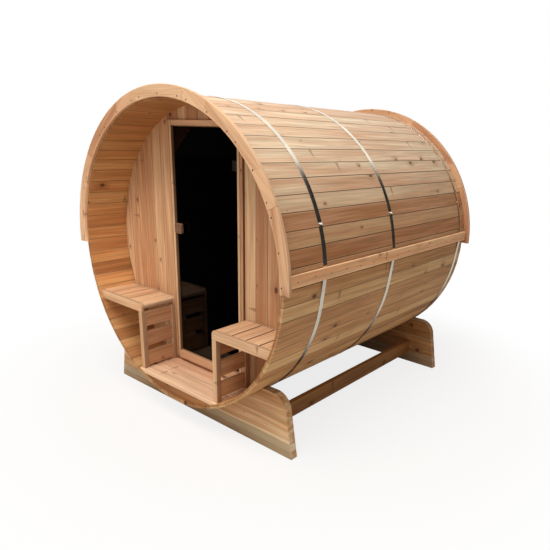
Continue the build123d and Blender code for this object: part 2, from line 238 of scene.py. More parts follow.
def new_material(name):
    """An empty material, a function that adds nodes to it, and its surface shader."""
    material = bpy.data.materials.new(name)
    material.use_nodes = True
    tree = material.node_tree
    return material, partial(node, tree), tree.nodes["Principled BSDF"]


def shaded(shade, share):
    """A colour made darker or paler, ready for a socket."""
    return (*[min(1, channel * share) for channel in shade], 1)


def cedar(name, shades, knot_share, seam, eaves=None, lining=None):
    """Planed red cedar: streaks along the board, round and spike knots with swirled grain,
    a tone of its own on every board, paler arrises, seams darkened by dust and painted shade, and ringed end
    grain.
    eaves holds the heights between which the jacket boards turn from a painted shade at the eaves to pale,
    lining the depth below which the wood never weathers and stays redder."""
    material, add, shader = new_material(name)
    colours = bpy.context.scene.sauna_colours
    pale, warm, heart = shades
    grain, half = (add("Attribute", attribute_name=layer).outputs["Vector"] for layer in ("grain", "half"))
    board = add("Attribute", attribute_name="board").outputs["Fac"]
    # Every board is cut from another place in the log
    log_step = (17.3, 41.9, 9.7)
    place = add("VectorMath.MULTIPLY_ADD", board, log_step, grain)
    # One knot at most in each 150 mm of board, up to 34 mm across, a little longer than wide
    cell, none, largest = 150 * MM, 0.2 * MM, 17 * MM
    flat = add("VectorMath.MULTIPLY", place, (1.0, 0.72, 0.0))
    knots = add("TexVoronoi", named={"Vector": flat, "Scale": 1 / cell}, voronoi_dimensions="2D")
    chance = add("SeparateColor", knots.outputs["Color"])
    size = add("MapRange", chance, 1 - knot_share, 1.0, none, largest)
    ratio = add("Math.DIVIDE", add("Math.MULTIPLY", knots, cell), size)
    # Its dark core, and the halo in which the grain swirls, both in radii of the knot
    core = add("MapRange", ratio, 1.15, 0.7, **SMOOTH)
    halo = add("MapRange", ratio, 4.2, 0.9, **SMOOTH)
    # Grain wanders by about 20 mm along a board, and bends round a knot
    wander = add("TexNoise", add("VectorMath.MULTIPLY", place, (5.0, 1.3, 5.0)), 1.0, 1.0)
    bend = add("Math.MULTIPLY_ADD", halo, 14 * MM, add("Math.MULTIPLY", wander, 30 * MM))
    apart = add("SeparateXYZ", place).outputs
    flow = add("CombineXYZ", add("Math.ADD", apart[0], bend), apart[1], apart[2])
    # Growth lines are drawn 11 mm apart, coarser than the real 2 mm, so that they show
    fine, broad = (
        add("TexNoise", add("VectorMath.MULTIPLY", flow, [1 / (width * MM) for width in widths]),
            1.0, detail, rough)
        for widths, detail, rough in (((11, 420, 16), 3.0, 0.62), ((38, 900, 60), 2.0, 0.5)))
    # Tone: the board's own, with broad and fine streaks
    streaks = add("MapRange", broad, 0.3, 0.7, -0.3, 0.3)
    ramp = add("ValToRGB", add("Math.MULTIPLY_ADD", board, 0.8, streaks))
    stops = ramp.color_ramp.elements
    stops[0].color, stops[1].color = (*pale, 1), (*heart, 1)
    stops.new(0.48).color = (*warm, 1)
    lined = add("VectorMath.SCALE", ramp, add("MapRange", fine, 0.34, 0.70, 1.1, 0.74))
    ringed = add("Mix", add("Math.MULTIPLY", halo, 0.55), lined, shaded(heart, 0.86), **COLOURS)
    knotted = add("Mix", add("Math.MULTIPLY", core, 0.88), ringed, (*colours.knot, 1), **COLOURS)
    # A spike knot lies right across a board, every 900 mm or so, and tapers to one edge
    spacing = 900 * MM
    spikes = add("TexVoronoi", named={"W": apart[1], "Scale": 1 / spacing}, voronoi_dimensions="1D")
    luck = add("SeparateColor", spikes.outputs["Color"])
    stem = add("SeparateXYZ", add("VectorMath.DIVIDE", grain, half))
    taper = add("MapRange", stem, -0.9, 1.0, none, largest)
    taper = add("Math.MULTIPLY", taper, add("MapRange", luck, 0.45, 0.78))
    spike = add("Math.SUBTRACT", taper, add("Math.MULTIPLY", spikes, spacing))
    spike = add("MapRange", spike, 0.0, 6 * MM, 0.0, 0.6, **SMOOTH)
    spiked = add("Mix", spike, knotted, shaded(heart, 0.5), **COLOURS)
    # Arrises are rubbed paler
    inset = add("VectorMath.SUBTRACT", half, add("VectorMath.ABSOLUTE", grain))
    margin = add("SeparateXYZ", inset).outputs
    rubbed = add("MapRange", margin[0], 8 * MM, 3.5 * MM, 0.0, 0.42, **SMOOTH)
    worn = add("Mix", rubbed, spiked, shaded(pale, 1.12), **COLOURS)
    # Dust and shade in the bottom of a seam between two boards
    shade = add("MapRange", margin[0], 4.0 * MM, 1.6 * MM, 0.0, seam, **SMOOTH)
    worn = add("Mix", shade, worn, shaded(heart, 0.25), **COLOURS)
    # Ends show ringed, darker wood, its rings about the pith beside the board
    sawn = add("MapRange", margin[1], 1.2 * MM, 0.4 * MM)
    section = add("VectorMath.MULTIPLY_ADD", grain, (1.0, 0.0, 1.0), (30 * MM, 0.0, 90 * MM))
    rings = add("TexWave", named={"Vector": section, "Scale": 1 / (20 * MM), "Distortion": 1.5},
                wave_type="RINGS", rings_direction="Y")
    end_tone = add("MapRange", rings.outputs["Fac"], 0.0, 1.0, 0.74, 0.95)
    finish = add("Mix", sawn, worn, add("VectorMath.SCALE", worn, end_tone), **COLOURS)
    if eaves:
        # Painted shade: the jacket boards darken towards the eaves
        height = add("SeparateXYZ", add("TexCoord").outputs["Object"]).outputs["Z"]
        painted_eaves_shade = add("MapRange", height, eaves[1], eaves[0], **SMOOTH)
        finish = add("Mix", painted_eaves_shade, finish, (*colours.eaves_shade, 1), **TINT)
    if lining:
        depth = add("SeparateXYZ", grain).outputs["Z"]
        inside = add("MapRange", depth, lining, lining - 2 * MM)
        finish = add("Mix", inside, finish, (*colours.lining, 1), **TINT)
        # Inside, the staves' narrow edges show a deeper seam: painted shade in the joints
        deep = add("MapRange", margin[0], 6.5 * MM, 2.5 * MM, 0.0, 0.3, **SMOOTH)
        finish = add("Mix", add("Math.MULTIPLY", deep, inside), finish, shaded(heart, 0.2), **COLOURS)
    relief = add("Math.MULTIPLY_ADD", core, -0.5, fine)
    feed(shader, {
        "Base Color": finish,
        "Roughness": add("MapRange", fine, 0.3, 0.7, 0.52, 0.7),
        "Normal": add("Bump", named={"Height": relief, "Strength": 0.5, "Distance": 0.8 * MM})})
    return material


def rolled_steel(name, shade, roughness):
    """Rolled steel: bright, with faint mill lines along the strap and dull smears."""
    material, add, shader = new_material(name)
    where = add("TexCoord").outputs["Object"]
    # Mill lines are drawn 2 mm apart, so that they show
    stretched = add("VectorMath.MULTIPLY", where, (4.0, 1 / (2 * MM), 4.0))
    lines = add("TexNoise", stretched, 1.0, 2.0)
    smears = add("TexNoise", where, 1 / (120 * MM), 3.0)
    tone = add("MapRange", smears, 0.3, 0.7, 0.82, 1.05)
    feed(shader, {
        "Base Color": add("VectorMath.SCALE", tuple(shade), tone),
        "Metallic": 1.0,
        "Roughness": add("MapRange", lines, 0.3, 0.7, roughness - 0.08, roughness + 0.1),
        "Normal": add("Bump", named={"Height": lines, "Strength": 0.25, "Distance": 0.1 * MM})})
    return material


def tinted_glass(name, shade):
    """Tempered float glass, tinted through: dark over a dark cabin, with faint wiping marks.
    Its shine is tinted almost black, which paints its reflections dark."""
    material, add, shader = new_material(name)
    wiped = add("TexNoise", add("TexCoord").outputs["Object"], 1 / (160 * MM), 4.0)
    feed(shader, {
        "Base Color": (*shade, 1),
        "Roughness": add("MapRange", wiped, 0.4, 0.75, 0.01, 0.06),
        "Transmission Weight": 1.0,
        "IOR": 1.52,
        "Specular Tint": (0.05, 0.05, 0.05, 1)})
    return material


def new_tree(name, inputs):
    """An empty node tree with named inputs, a function that adds nodes to it, and what it is given.
    Each input has its kind, and may have its default and its subtype."""
    tree = bpy.data.node_groups.new(name, "GeometryNodeTree")
    for label, (kind, *more) in inputs.items():
        socket = tree.interface.new_socket(name=label, in_out="INPUT", socket_type=f"NodeSocket{kind}")
        if len(more) > 1:
            socket.subtype = more[1]
        if more:
            socket.default_value = more[0]
    tree.interface.new_socket(name="Mesh", in_out="OUTPUT", socket_type="NodeSocketGeometry")
    add = partial(node, tree)
    return tree, add, add("NodeGroupInput").outputs


def laid_boards(add, given, place, turn=(0, 0, 0)):
    """One board at every place, with a random tone of its own."""
    points = add("GeometryNodePoints", given["Count"], place)
    boards = add("GeometryNodeInstanceOnPoints", named={
        "Points": points, "Instance": given["Board"], "Rotation": turn})
    tone = add("FunctionNodeRandomValue", 0.0, 1.0, add("GeometryNodeInputIndex"), given["Seed"],
               data_type="FLOAT")
    toned = add("GeometryNodeStoreNamedAttribute", named={
        "Geometry": boards, "Name": "board", "Value": tone}, data_type="FLOAT", domain="INSTANCE")
    return add("GeometryNodeRealizeInstances", toned)


def end_tree(add, given, geometry):
    """Close a tree: everything real, and in its material."""
    solid = add("GeometryNodeRealizeInstances", geometry)
    dressed = add("GeometryNodeSetMaterial", named={"Geometry": solid, "Material": given["Material"]})
    add("NodeGroupOutput", named={"Mesh": dressed})


def ring_tree(name):
    """Carries one board, laid on +X, round the barrel axis."""
    tree, add, given = new_tree(name, {
        "Board": ("Geometry",), "Count": ("Int", 1),
        "First Angle": ("Float", 0.0, "ANGLE"), "Pitch": ("Float", 0.1, "ANGLE"),
        "Axis Height": ("Float", 0.0, "DISTANCE"), "Sink": ("Float", 0.0, "DISTANCE"),
        "Seed": ("Int", 0), "Material": ("Material",)})
    index = add("GeometryNodeInputIndex")
    angle = add("Math.MULTIPLY_ADD", index, given["Pitch"], given["First Angle"])
    other_seed = add("Math.ADD", given["Seed"], 1.0)
    sink = add("FunctionNodeRandomValue", 0.0, given["Sink"], index, other_seed, data_type="FLOAT")
    inward = add("Math.MULTIPLY", sink, -1.0)
    along_x = add("Math.MULTIPLY", add("Math.COSINE", angle), inward)
    along_z = add("Math.MULTIPLY_ADD", add("Math.SINE", angle), inward, given["Axis Height"])
    place = add("CombineXYZ", along_x, 0.0, along_z)
    turn = add("CombineXYZ", 0.0, add("Math.MULTIPLY", angle, -1.0))
    end_tree(add, given, laid_boards(add, given, place, turn))
    return tree


def row_tree(name):
    """Repeats one board in a straight row, and cuts the boards' ends to a round rim."""
    tree, add, given = new_tree(name, {
        "Board": ("Geometry",), "Count": ("Int", 1), "Start": ("Vector",), "Step": ("Vector",),
        "Sink": ("Vector",), "Rim Middle": ("Vector",), "Rim Radius": ("Float", 100.0, "DISTANCE"),
        "Along": ("Vector",), "Across": ("Vector",), "Seed": ("Int", 0), "Material": ("Material",)})
    index = add("GeometryNodeInputIndex")
    other_seed = add("Math.ADD", given["Seed"], 1.0)
    sink = add("FunctionNodeRandomValue", 0.0, 1.0, index, other_seed, data_type="FLOAT")
    place = add("VectorMath.MULTIPLY_ADD", given["Step"], index, given["Start"])
    place = add("VectorMath.MULTIPLY_ADD", given["Sink"], sink, place)
    solid = laid_boards(add, given, place)
    # A point beyond the rim comes back to it along its board, and takes its grain with it
    offset = add("VectorMath.SUBTRACT", add("GeometryNodeInputPosition"), given["Rim Middle"])
    along, across = (add("VectorMath.DOT_PRODUCT", offset, given[way]) for way in ("Along", "Across"))
    square = add("Math.POWER", given["Rim Radius"], 2.0)
    room = add("Math.SUBTRACT", square, add("Math.MULTIPLY", across, across))
    reach = add("Math.SQRT", add("Math.MAXIMUM", room, 0.0))
    cut = add("Clamp", along, add("Math.MULTIPLY", reach, -1.0), reach)
    change = add("Math.SUBTRACT", cut, along)
    grain = add("GeometryNodeInputNamedAttribute", "grain", data_type="FLOAT_VECTOR")
    shorter = add("VectorMath.ADD", grain, add("CombineXYZ", 0.0, change))
    kept = add("GeometryNodeStoreNamedAttribute", named={
        "Geometry": solid, "Name": "grain", "Value": shorter}, data_type="FLOAT_VECTOR", domain="POINT")
    move = add("VectorMath.SCALE", given["Along"], change)
    end_tree(add, given, add("GeometryNodeSetPosition", named={"Geometry": kept, "Offset": move}))
    return tree


def strap_tree(name):
    """A flat strap pulled tight over the roof jacket and round the barrel under it."""
    tree, add, given = new_tree(name, {
        "Blank": ("Geometry",), "Steps": ("Int", 272), "Under Radius": ("Float", 1.0, "DISTANCE"),
        "Leave Angle": ("Float", 0.02, "ANGLE"), "Meet Angle": ("Float", -0.14, "ANGLE"),
        "Width": ("Float", 0.035, "DISTANCE"), "Thickness": ("Float", 0.0012, "DISTANCE"),
        "Middle": ("Vector",), "Material": ("Material",)})
    circle = add("GeometryNodeCurvePrimitiveCircle", named={"Resolution": given["Steps"], "Radius": 1.0})
    point = add("GeometryNodeInputPosition")
    apart = add("SeparateXYZ", point).outputs
    angle = add("Math.ARCTAN2", apart[1], add("Math.ABSOLUTE", apart[0]))
    held = add("Clamp", angle, given["Meet Angle"], given["Leave Angle"])
    lift = add("Math.COSINE", add("Math.SUBTRACT", held, given["Meet Angle"]))
    tight = add("VectorMath.SCALE", point, add("Math.DIVIDE", given["Under Radius"], lift))
    loop = add("GeometryNodeSetPosition", named={"Geometry": circle, "Position": tight})
    profile = add("GeometryNodeCurvePrimitiveQuadrilateral", named={
        "Width": given["Thickness"], "Height": given["Width"]})
    rounding = add("Math.MULTIPLY", given["Thickness"], 0.35)
    rounded_profile = add("GeometryNodeFilletCurve", named={
        "Curve": profile, "Radius": rounding, "Count": 2}, mode="POLY")
    strap = add("GeometryNodeCurveToMesh", named={"Curve": loop, "Profile Curve": rounded_profile})
    upright = add("GeometryNodeTransform", named={
        "Geometry": strap, "Rotation": (math.pi / 2, 0, 0), "Translation": given["Middle"]})
    end_tree(add, given, upright)
    return tree


def made_once(store, name, maker, *values, **more):
    """A material or node tree by name, made when first asked for."""
    return store.get(name) or maker(name, *values, **more)


# Each finish: its name, its colours, the share of places with a knot, and the depth of shade in its seams
WOODS = {
    "staves": ("Planed red cedar, staves", "stave", 0.34, 0.6),
    "roof": ("Planed white cedar, jacket", "roof", 0.30, 0.75),
    "trim": ("Planed red cedar, trims", "trim", 0.26, 0.0),
    "walls": ("Planed red cedar, walls", "wall", 0.26, 0.8),
    "floor": ("Planed red cedar, floors", "floor", 0.26, 0.0),
    "cradle": ("Sawn cedar, cradles", "cradle", 0.34, 0.5),
    "edge": ("Planed red cedar, eaves", "edge", 0.34, 0.0),
    "bench": ("Planed red cedar, benches", "trim", 0.26, 0.5),
    # The rails' finish is partly painted shade from the barrel above them
    "rail": ("Stained cedar, rails", "rail", 0.30, 0.0),
    "handle": ("Oiled cedar, pulls", "handle", 0.02, 0.0),
}
# Heights of the painted shade near the eaves, as shares of the roof's radius above the axis
EAVES_SHADE = (0.2, 0.66)
# Each steel, by the name of its colour: its own name and its roughness
STEELS = {
    "strap": ("Rolled stainless steel", 0.16),
    "screw": ("Burnished steel, screws", 0.5),
    "hinge": ("Dark satin steel, hinges", 0.42),
}


def wood(part):
    """The cedar finish of one part of the sauna."""
    scene = bpy.context.scene
    name, finish, knot_share, seam = WOODS[part]
    shades = [tuple(getattr(scene.sauna_colours, f"{finish}_{shade}")) for shade in SHADES]
    eaves = [axis_height + share * roof_radius for share in EAVES_SHADE] if part == "roof" else None
    lining = barrel_radius - scene.sauna_sizes.stave_thickness / 2 if part == "staves" else None
    return made_once(bpy.data.materials, name, cedar, shades, knot_share, seam, eaves, lining)


def steel(part):
    """The steel of the straps, screws or hinges."""
    name, roughness = STEELS[part]
    shade = getattr(bpy.context.scene.sauna_colours, part)
    return made_once(bpy.data.materials, name, rolled_steel, shade, roughness)


def grown_mesh(blank, tree_name, maker, values):
    """The plain mesh that a node tree makes of a blank."""
    holder = bpy.data.objects.new("holder", blank)
    bpy.context.scene.collection.objects.link(holder)
    modifier = holder.modifiers.new("Boards", "NODES")
    modifier.node_group = tree = made_once(bpy.data.node_groups, tree_name, maker)
    sockets = {item.name: item.identifier for item in tree.interface.items_tree if item.in_out == "INPUT"}
    for name, value in values.items():
        modifier[sockets[name]] = value
    depsgraph = bpy.context.evaluated_depsgraph_get()
    mesh = bpy.data.meshes.new_from_object(
        holder.evaluated_get(depsgraph), preserve_all_data_layers=True, depsgraph=depsgraph)
    holder.modifiers.remove(modifier)
    bpy.data.objects.remove(holder)
    bpy.data.meshes.remove(blank)
    return mesh


def ring(blank, count, first, pitch, material, seed, sink=0.0):
    """A mesh of boards carried round the barrel axis."""
    return grown_mesh(blank, "Ring of boards", ring_tree, {
        "Count": count, "First Angle": first, "Pitch": pitch, "Axis Height": axis_height,
        "Sink": sink, "Seed": seed, "Material": material})


def row(blank, count, start, step, material, seed, sink=(0, 0, 0), rim=None, along=X, across=Z):
    """A mesh of boards in a straight row, cut to a round rim where one is given."""
    values = {
        "Count": count, "Start": start, "Step": step, "Sink": sink, "Seed": seed,
        "Along": along, "Across": across, "Rim Middle": (0, 0, axis_height), "Material": material}
    if rim:
        values["Rim Radius"] = rim
    mesh = grown_mesh(blank, "Row of boards", row_tree, values)
    # Points that the rim has drawn together become one, and faces left with no area go
    work = bmesh.new()
    work.from_mesh(mesh)
    bmesh.ops.remove_doubles(work, verts=work.verts, dist=WELD)
    bmesh.ops.dissolve_degenerate(work, edges=work.edges, dist=WELD)
    work.to_mesh(mesh)
    work.free()
    return mesh


def joined(meshes):
    """One mesh out of several that share their materials and attributes."""
    parts = [bpy.data.objects.new("part", mesh) for mesh in meshes]
    for part in parts:
        bpy.context.scene.collection.objects.link(part)
    with bpy.context.temp_override(
            active_object=parts[0], selected_editable_objects=parts, selected_objects=parts):
        bpy.ops.object.join()
    mesh = parts[0].data
    bpy.data.objects.remove(parts[0])
    return mesh


def piece(name, mesh, nodes, body=CABIN, material=None):
    """An object of the finished model, on its body, in place of its CAD nodes."""
    mesh.name = name
    if material:
        mesh.materials.clear()
        mesh.materials.append(material)
    mesh.shade_smooth()
    mesh.set_sharp_from_angle(angle=CRISP)
    made = bpy.data.objects.new(name, mesh)
    bpy.context.scene.collection.objects.link(made)
    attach(made, body)
    if nodes:
        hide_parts(*nodes)
    return made


def finished(work, name):
    """The mesh of a finished piece of bench work."""
    mesh = bpy.data.meshes.new(name)
    work.to_mesh(mesh)
    work.free()
    return mesh


def bridged(work, loops):
    """Close loops of points into one solid, and give the faces between them."""
    sides = []
    for first, second in zip(loops, loops[1:]):
        for index in range(len(first)):
            after = (index + 1) % len(first)
            sides.append(work.faces.new((first[after], first[index], second[index], second[after])))
    work.faces.new(loops[0])
    work.faces.new(list(reversed(loops[-1])))
    return sides


def rounded(work, arris, segments=2, spared=frozenset()):
    """Round the outward edges of a solid, apart from those of the spared faces."""
    bmesh.ops.recalc_face_normals(work, faces=work.faces)
    edges = [
        edge for edge in work.edges
        if edge.is_manifold and edge.calc_face_angle_signed() > SHARP and not spared.intersection(edge.link_faces)
    ]
    bmesh.ops.bevel(
        work, geom=edges, offset=arris, segments=segments, profile=0.5, affect="EDGES", clamp_overlap=False)


def grain_layers(work):
    """Where a point lies in its board, as across, along and through it, and half the board's size."""
    return [work.verts.layers.float_vector.new(name) for name in ("grain", "half")]


def rectangle(along, through):
    """The outline of a straight board seen edge on."""
    return [(along[0], through[0]), (along[1], through[0]), (along[1], through[1]), (along[0], through[1])]


def plank(side, half_width, axes, arris, flare=0.0, recessed=()):
    """A board from its outline seen edge on, as (along, through) points.
    half_width holds at through 0 and grows by flare; recessed points get no rounding."""
    work = bmesh.new()
    sides = bridged(work, [
        [work.verts.new((sign * (half_width + flare * t), l, t)) for l, t in side] for sign in (-1, 1)])
    grooved = {
        face for index, face in enumerate(sides)
        if index in recessed or (index + 1) % len(side) in recessed
    }
    rounded(work, arris, spared=grooved)
    grain, half = grain_layers(work)
    extent = Vector([max(abs(vert.co[index]) for vert in work.verts) for index in range(3)])
    across, along, through = axes
    for vert in work.verts:
        vert[grain] = vert.co
        vert[half] = extent
        vert.co = across * vert.co.x + along * vert.co.y + through * vert.co.z
    # Faces are turned by their normals, which still lie as they did before the board was laid on its axes
    work.normal_update()
    bmesh.ops.recalc_face_normals(work, faces=work.faces)
    return finished(work, "plank")


def arch_blank(inner, outer, half_angle, y, arris):
    """One curved board of an arch, lying on +X, with straight grain along its chord."""
    steps = 24
    work = bmesh.new()
    angles = [half_angle * (2 * index / steps - 1) for index in range(steps + 1)]
    corners = rectangle((inner, outer), y)
    bridged(work, [
        [work.verts.new((radius * math.cos(angle), depth, radius * math.sin(angle))) for radius, depth in corners]
        for angle in angles])
    rounded(work, arris)
    grain, half = grain_layers(work)
    middle = Vector(((inner + outer) / 2, (y[0] + y[1]) / 2, 0))
    for vert in work.verts:
        local = vert.co - middle
        bow = math.hypot(vert.co.x, vert.co.z) - middle.x
        end = half_angle - abs(math.atan2(vert.co.z, vert.co.x))
        vert[grain] = (local.x, local.z, local.y)
        vert[half] = (
            (outer - inner) / 2 - abs(bow) + abs(local.x),
            end * middle.x + abs(local.z),
            (y[1] - y[0]) / 2)
    return finished(work, "arch board")


# Rings of a screw head from its foot to its socket, as shares of its radius and of a fifth of its width
SCREW_RINGS = ((1.0, -1.2), (1.0, -0.2), (0.86, -0.03), (0.34, 0.0), (0.2, -0.5))
SCREW_SIDES = 12


def screw_head(diameter, outward, middle):
    """A pan screw head with a round socket, its crown at the place given."""
    work = bmesh.new()
    angles = [math.tau * index / SCREW_SIDES for index in range(SCREW_SIDES)]
    bridged(work, [
        [work.verts.new((
            share * diameter / 2 * math.cos(angle), share * diameter / 2 * math.sin(angle), height * diameter / 5))
         for angle in angles]
        for share, height in SCREW_RINGS])
    turn = Z.rotation_difference(outward).to_matrix().to_4x4()
    bmesh.ops.transform(work, matrix=Matrix.Translation(middle) @ turn, verts=work.verts)
    work.normal_update()
    bmesh.ops.recalc_face_normals(work, faces=work.faces)
    return finished(work, "screw")


def islands(work):
    """The separate solids in a mesh."""
    left = set(work.verts)
    while left:
        start = min(left, key=lambda vert: vert.index)
        found, edge = {start}, [start]
        while edge:
            vert = edge.pop()
            for link in vert.link_edges:
                other = link.other_vert(vert)
                if other not in found:
                    found.add(other)
                    edge.append(other)
        left -= found
        yield sorted(found, key=lambda vert: vert.index)


def corners_of(verts):
    """Lowest and highest corner of some points."""
    return [Vector([pick(vert.co[index] for vert in verts) for index in range(3)]) for pick in (min, max)]


def softened(nodes, arris, seed, along=None, segments=2, tones=None, darkest=1.0, posts=False):
    """A copy of CAD nodes with rounded edges, every solid in it marked as a board of its own.
    Its grain runs along the axis given, or else along its longest side.
    tones holds the boards' tones from the lowest up; without them they are picked up to the darkest.
    posts leaves out every solid that is longer along the barrel than it is tall."""
    work = bmesh.new()
    for name in nodes:
        work.from_mesh(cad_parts[name].data)
    bmesh.ops.remove_doubles(work, verts=work.verts, dist=WELD)
    flat = math.radians(0.3)
    bmesh.ops.dissolve_limit(work, angle_limit=flat, verts=work.verts, edges=work.edges)
    if posts:
        work.verts.index_update()
        for verts in list(islands(work)):
            low, high = corners_of(verts)
            if high.y - low.y > high.z - low.z:
                bmesh.ops.delete(work, geom=verts, context="VERTS")
    rounded(work, arris, segments)
    work.verts.index_update()
    grain, half = grain_layers(work)
    tone = work.verts.layers.float.new("board")
    pick = random.Random(seed)
    solids = sorted(islands(work), key=lambda verts: min(vert.co.z for vert in verts)) if tones else islands(work)
    for order, verts in enumerate(solids):
        low, high = corners_of(verts)
        size, middle = high - low, (low + high) / 2
        longest = AXES.index(along) if along else max(range(3), key=lambda index: size[index])
        through, across = sorted(
            (index for index in range(3) if index != longest), key=lambda index: size[index])
        value = tones[order] if tones else darkest * pick.random()
        for vert in verts:
            local = vert.co - middle
            vert[grain] = (local[across], local[longest], local[through])
            vert[half] = (size[across] / 2, size[longest] / 2, size[through] / 2)
            vert[tone] = value
    return finished(work, "softened")


def soft_piece(name, node_name, slot, material, arris, seed, body=CABIN, **how):
    """One CAD node with rounded edges, as a piece of the finished model."""
    piece(name, softened([node_name], arris, seed, **how), [node_name], body, material)


class SAUNA_OT_staves(bpy.types.Operator):
    """Barrel wall of bevelled staves"""
    bl_idname = "sauna.staves"
    bl_label = "Staves"

    def execute(self, context):
        sizes = context.scene.sauna_sizes
        pitch = math.tau / sizes.stave_count
        outer = barrel_radius * math.cos(pitch / 2)
        inner = outer - sizes.stave_thickness
        groove = inner + sizes.groove_depth
        near, far = stave_ends
        side = [(near, outer), (near, inner)]
        recessed = []
        for wall in (front_wall, rear_wall):
            recessed += [len(side) + 1, len(side) + 2]
            side += [(wall[0], inner), (wall[0], groove), (wall[1], groove), (wall[1], inner)]
        side += [(far, inner), (far, outer)]
        blank = plank(side, -sizes.joint / 2, (Z, Y, X), sizes.arris, math.tan(pitch / 2), recessed)
        mesh = ring(blank, sizes.stave_count, pitch / 2, pitch, wood("staves"), 11, sizes.stave_sink)
        nodes = [f"staves_{place}" for place in ("right_upper", "left_upper", "left_lower", "right_lower")]
        piece("barrel_staves", mesh, nodes)
        return {"FINISHED"}


class SAUNA_OT_roof(bpy.types.Operator):
    """Jacket boards over the top half of the barrel"""
    bl_idname = "sauna.roof"
    bl_label = "Roof boards"

    def execute(self, context):
        sizes = context.scene.sauna_sizes
        count = sizes.roof_board_count
        pitch = (math.pi - 2 * roof_start) / count
        outer = roof_radius * math.cos(pitch / 2)
        side = rectangle(stave_ends, (outer - sizes.roof_thickness, outer))
        blank = plank(side, -sizes.joint / 2, (Z, Y, X), sizes.arris, math.tan(pitch / 2))
        mesh = ring(blank, count, roof_start + pitch / 2, pitch, wood("roof"), 23, sizes.roof_sink)
        piece("roof_jacket", mesh, ["roof_boards_right", "roof_boards_left"])
        return {"FINISHED"}


# Boards of an arch: how many, and in short lengths, where the first lies and how long they are
ARCH_BOARDS = ((3, 0.5, 1), (2, 2.0, 2))
# From one board of a kind to the next, in short lengths
ARCH_REPEAT = 3
# Screws in every short length, as shares of its length and of the arch's width
ARCH_SCREWS = ((0.09, 0.24), (0.5, 0.22), (0.91, 0.21))


class SAUNA_OT_arches(bpy.types.Operator):
    """Arch trims over the stave ends, front and rear, with their screws"""
    bl_idname = "sauna.arches"
    bl_label = "Arches"

    def execute(self, context):
        sizes = context.scene.sauna_sizes
        inner = arch_radius - sizes.arch_width
        start = -math.asin(arch_drop / arch_radius)
        pitch = (math.pi - 2 * start) / sizes.arch_segments
        gap = sizes.joint / inner
        for name, outward, seed in (("front", -Y, 31), ("rear", Y, 37)):
            y = span(f"{name}_arch", "Y")
            face, back = y if outward.y < 0 else reversed(y)
            depth = sorted((face - outward.y * sizes.fastener_rise, back))
            # Short boards at the feet and the crown, a long board on each side between them
            boards = []
            for count, first, lengths in ARCH_BOARDS:
                blank = arch_blank(inner, arch_radius, (lengths * pitch - gap) / 2, depth, sizes.trim_arris)
                boards.append(ring(
                    blank, count, start + first * pitch, ARCH_REPEAT * pitch, wood("trim"), seed + count))
            piece(f"arch_{name}", joined(boards), [f"{name}_arch"])
            # Two screws beside every joint and one between, over the stave ends
            heads = []
            for share, height in ARCH_SCREWS:
                head = screw_head(sizes.screw_head, outward, Vector((inner + height * sizes.arch_width, face, 0)))
                heads.append(ring(
                    head, sizes.arch_segments, start + share * pitch, pitch, steel("screw"), seed))
            piece(f"arch_{name}_screws", joined(heads), [])
        return {"FINISHED"}


class SAUNA_OT_edge_trims(bpy.types.Operator):
    """Level trims along the lower edges of the jacket, with their nails"""
    bl_idname = "sauna.edge_trims"
    bl_label = "Edge trims"

    def execute(self, context):
        sizes = context.scene.sauna_sizes
        # The lowest nail, as a share of the trim's height, and how far others stand above it
        low_nail, scatter = 0.36, 14 * MM
        for name, outward, seed in (("right", 1, 41), ("left", -1, 43)):
            trim = f"roof_edge_{name}"
            soft_piece(
                f"edge_trim_{name}", trim, "cedar_trim", wood("edge"), sizes.trim_arris, seed,
                along="Y", tones=(0.3,))
            x, y, z = (span(trim, axis) for axis in AXES)
            face = max(x, key=lambda place: outward * place)
            first = Vector((
                face + outward * sizes.fastener_rise, y[0] + sizes.nail_margin, z[0] + low_nail * (z[1] - z[0])))
            head = screw_head(sizes.nail_head, outward * X, first)
            step = (y[1] - y[0] - 2 * sizes.nail_margin) / (sizes.nail_count - 1)
            heads = row(
                head, sizes.nail_count, (0, 0, 0), (0, step, 0), steel("screw"), seed, sink=(0, 0, scatter))
            piece(f"edge_trim_{name}_nails", heads, [])
        return {"FINISHED"}


STRAP_STEPS = 272
# Outline of the lug where a strap's ends meet, up along the strap and out from it, in millimetres
LUG = ((13, 0), (0, 6.5), (-4, 6.5), (-6, 0), (-6, -0.8), (13, -0.8))
LUG_ARRIS = 0.5 * MM


class SAUNA_OT_straps(bpy.types.Operator):
    """Steel straps round the barrel, with their lugs"""
    bl_idname = "sauna.straps"
    bl_label = "Straps"

    def execute(self, context):
        sizes = context.scene.sauna_sizes
        half = sizes.strap_thickness / 2
        for name in ("front", "middle", "rear"):
            band = f"band_{name}"
            y, z = span(band, "Y"), span(band, "Z")
            width, middle = y[1] - y[0], (y[0] + y[1]) / 2
            over = z[1] - axis_height - half
            under = axis_height - z[0] - half
            mesh = grown_mesh(bpy.data.meshes.new("blank"), "Tight strap", strap_tree, {
                "Steps": STRAP_STEPS, "Under Radius": under, "Leave Angle": roof_start,
                "Meet Angle": roof_start - math.acos(under / over), "Width": width,
                "Thickness": sizes.strap_thickness, "Middle": (0, middle, axis_height),
                "Material": steel("strap")})
            piece(f"strap_{name}", mesh, [band])
            # The ends of a strap meet in a folded lug, whose long slope looks up
            outline = [(up * MM, over + half + out * MM) for up, out in LUG]
            blank = plank(outline, width / 2, (Y, Z, X), LUG_ARRIS)
            blank.transform(Matrix.Translation((0, middle, 0)))
            mesh = ring(blank, 1, sizes.lug_angle, 0.0, steel("strap"), 51)
            piece(f"strap_{name}_lug", mesh, [])
        return {"FINISHED"}


